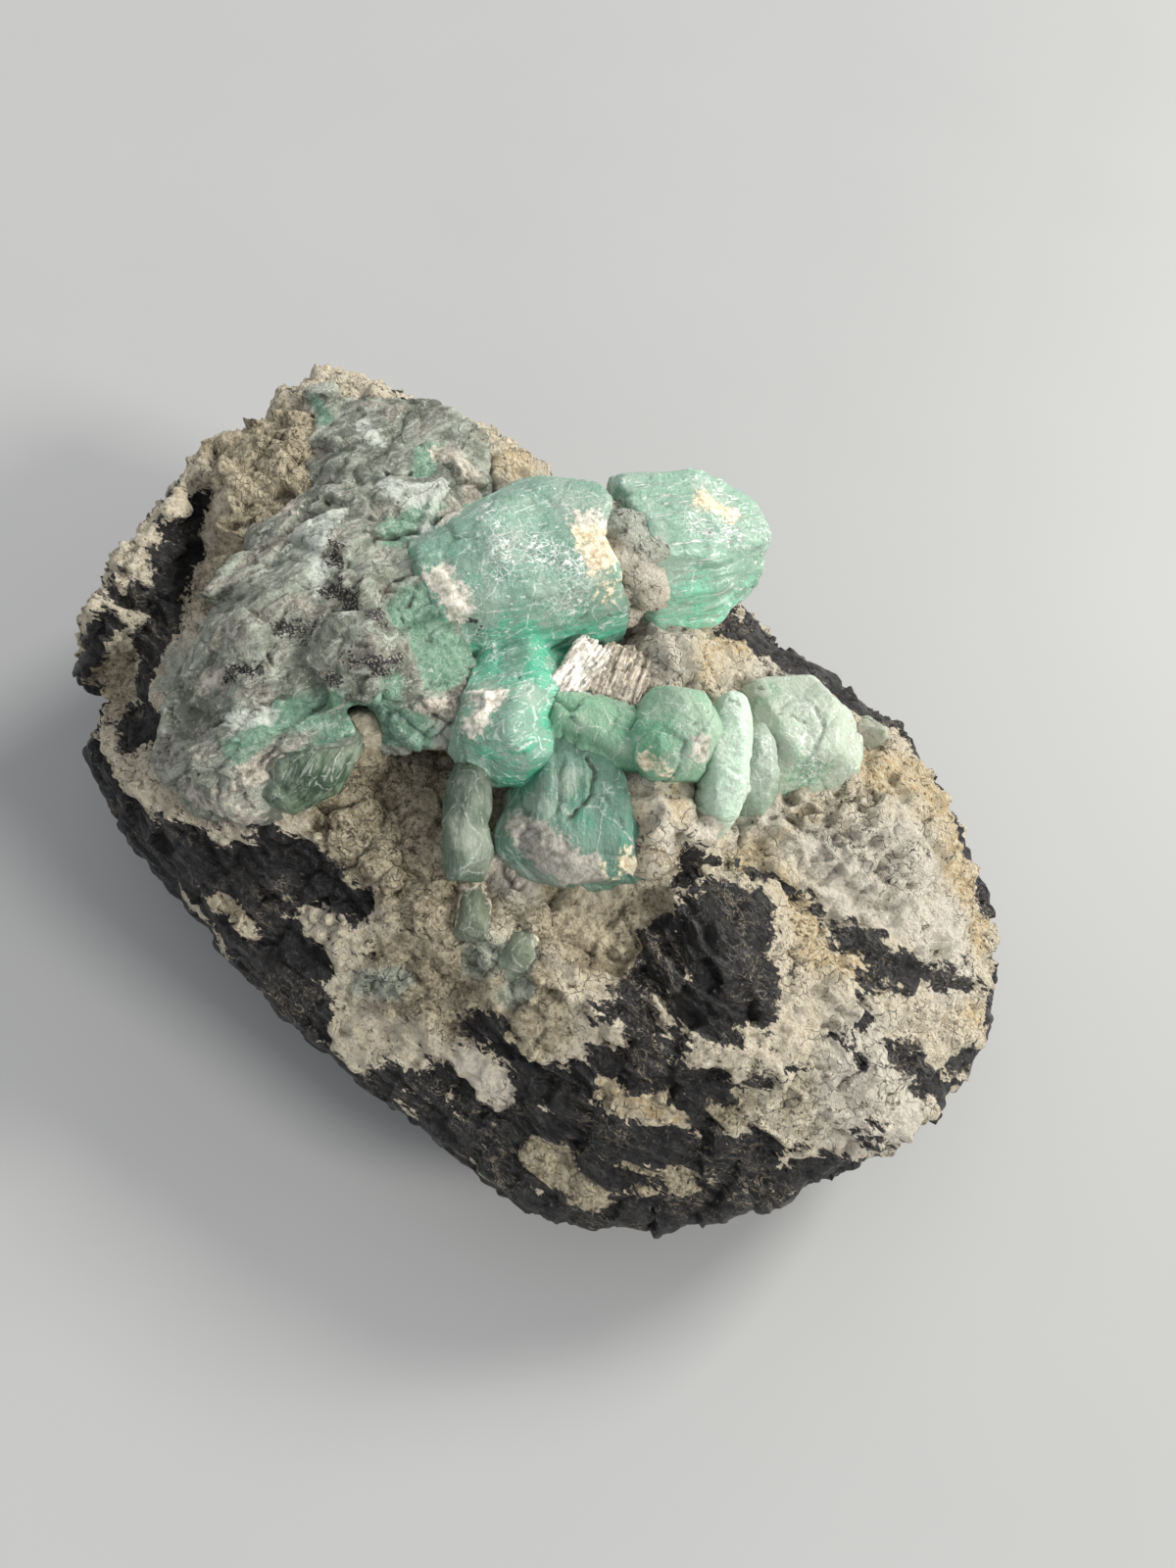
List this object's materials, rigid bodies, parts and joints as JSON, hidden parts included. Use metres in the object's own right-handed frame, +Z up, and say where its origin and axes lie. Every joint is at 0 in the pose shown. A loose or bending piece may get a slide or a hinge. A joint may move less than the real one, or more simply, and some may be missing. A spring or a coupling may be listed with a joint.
{
  "type": "emerald in matrix",
  "caption": "Rough block of black mica schist with a pale feldspar crust, carrying a band of milky green beryl crystals grown together across its top.",
  "frame": {"origin": "Middle of the base of the bounding box, on the surface the block rests on.", "axes": "+X runs along the block's length, towards the end without crystals; +Y points to the back, past the striated crystal; +Z is up."},
  "size_m": [0.2752, 0.1786, 0.1166],
  "materials": {
    "matrix": "rough black mica schist under a crust of white, tan and ochre feldspar",
    "weathered_beryl": "grey-green weathered beryl with white streaks and dark mica flecks",
    "deep_beryl": "milky emerald green, waxy to glassy, with white cracks",
    "pale_beryl": "milky pale green, waxy, finely striated",
    "mica": "silvery brown layered mica"
  },
  "bodies": {
    "root": {"matrix": "matrix", "beryl_mass": "weathered_beryl", "central_crystal": "deep_beryl", "striated_crystal": "pale_beryl", "rod_crystal": "pale_beryl", "knob_crystal": "pale_beryl", "scaly_crystal": "pale_beryl", "scalloped_crystal": "pale_beryl", "pale_crystal": "pale_beryl", "corner_crystal": "weathered_beryl", "wide_crystal": "pale_beryl", "tooth_crystal": "deep_beryl", "small_crystal_left": "weathered_beryl", "small_crystal_right": "weathered_beryl", "mica_book_light": "mica", "mica_book_dark": "mica"}
  },
  "joints": []
}
